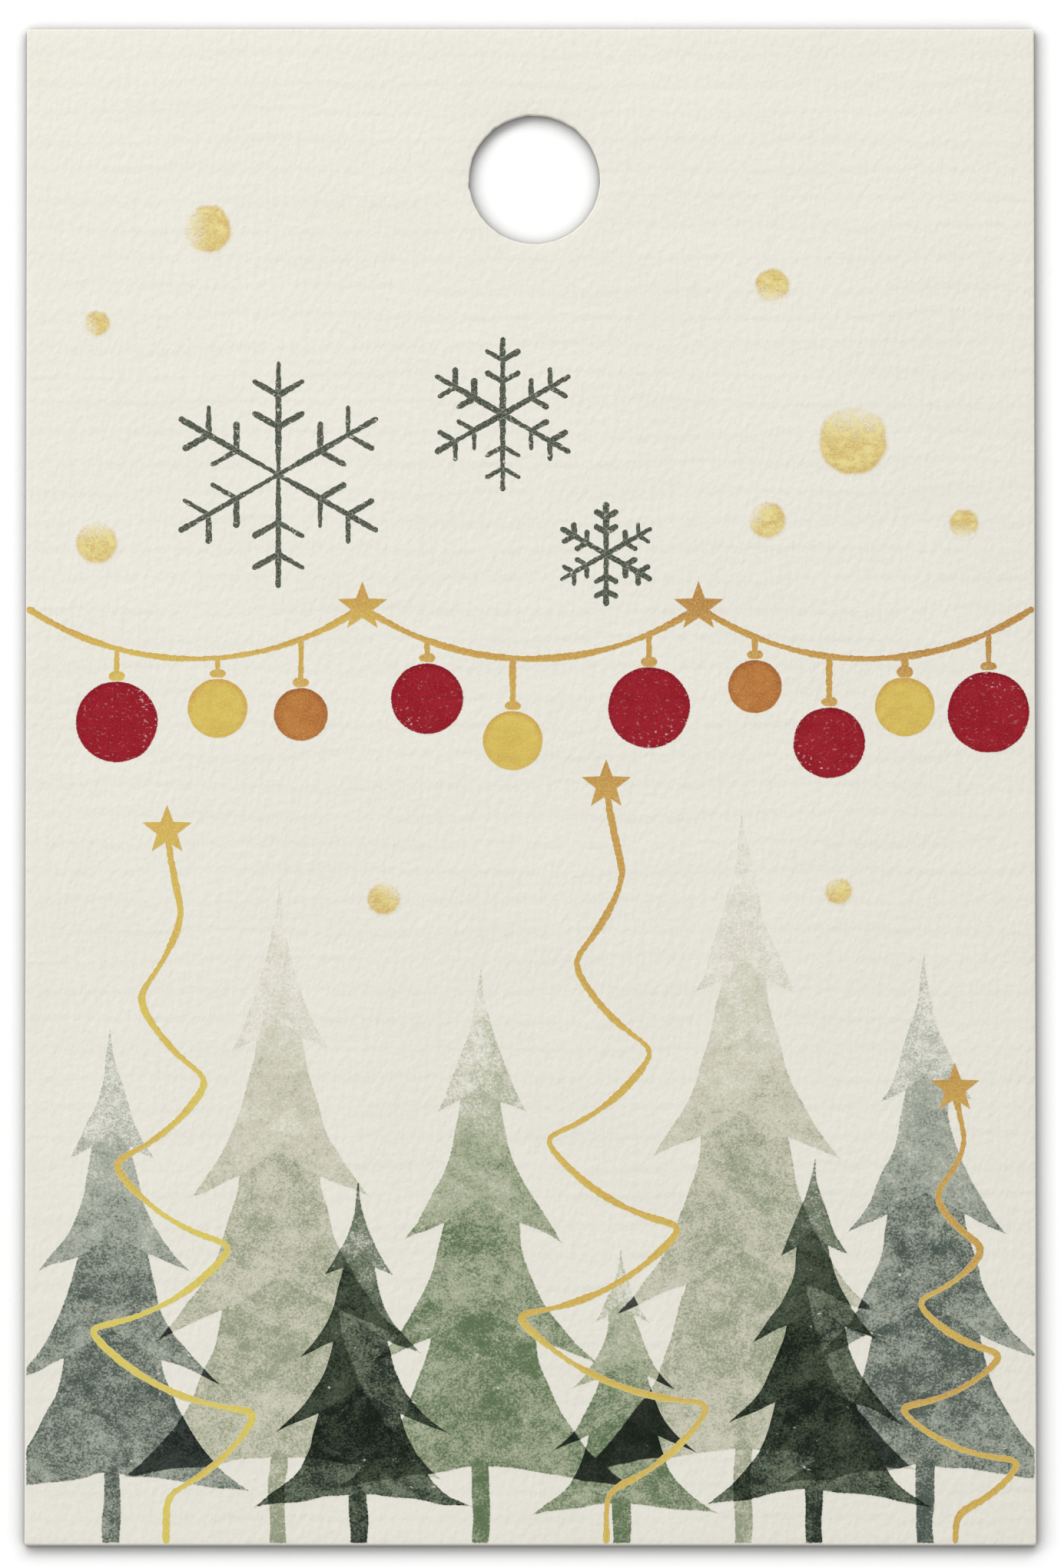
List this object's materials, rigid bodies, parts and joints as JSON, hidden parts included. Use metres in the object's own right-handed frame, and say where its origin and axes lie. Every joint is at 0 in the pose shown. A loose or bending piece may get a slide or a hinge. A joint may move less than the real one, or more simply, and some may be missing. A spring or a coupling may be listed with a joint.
{
  "type": "gift tag",
  "caption": "Flat rectangular gift tag of felt-marked card with a punched hanging hole, printed on the front with firs, a garland of baubles and snowflakes.",
  "frame": {"origin": "middle of the card's back face", "axes": "+X across the card, +Y up the card towards the hanging hole, +Z out of the printed front face"},
  "size_m": [0.05, 0.076, 0.0005],
  "materials": {
    "card": "matte",
    "ink_pale_sage": "matte",
    "ink_sage": "matte",
    "ink_slate": "matte",
    "ink_deep_green": "matte",
    "ink_dark_green": "matte",
    "ink_gold": "matte",
    "ink_crimson": "matte",
    "ink_yellow": "matte",
    "ink_orange": "matte",
    "ink_pale_gold": "matte"
  },
  "bodies": {
    "root": {"bauble_orange_1": "ink_orange", "bauble_orange_2": "ink_orange", "bauble_red_1": "ink_crimson", "bauble_red_2": "ink_crimson", "bauble_red_3": "ink_crimson", "bauble_red_4": "ink_crimson", "bauble_red_5": "ink_crimson", "bauble_yellow_1": "ink_yellow", "bauble_yellow_2": "ink_yellow", "bauble_yellow_3": "ink_yellow", "card": "card", "fir_deep_left": "ink_deep_green", "fir_deep_right": "ink_deep_green", "fir_pale_left": "ink_pale_sage", "fir_pale_right": "ink_pale_sage", "fir_sage_front": "ink_sage", "fir_sage_middle": "ink_sage", "fir_slate_left": "ink_slate", "fir_slate_right": "ink_slate", "fir_star_1": "ink_gold", "fir_star_2": "ink_gold", "fir_star_3": "ink_gold", "garland": "ink_gold", "gold_fir_left": "ink_gold", "gold_fir_middle": "ink_gold", "gold_fir_right": "ink_gold", "post_star_1": "ink_gold", "post_star_2": "ink_gold", "snow_dot_1": "ink_pale_gold", "snow_dot_2": "ink_pale_gold", "snow_dot_3": "ink_pale_gold", "snow_dot_4": "ink_pale_gold", "snow_dot_5": "ink_pale_gold", "snow_dot_6": "ink_pale_gold", "snow_dot_7": "ink_pale_gold", "snow_dot_8": "ink_pale_gold", "snow_dot_9": "ink_pale_gold", "snowflake_large": "ink_dark_green", "snowflake_middle": "ink_dark_green", "snowflake_small": "ink_dark_green"}
  },
  "joints": []
}
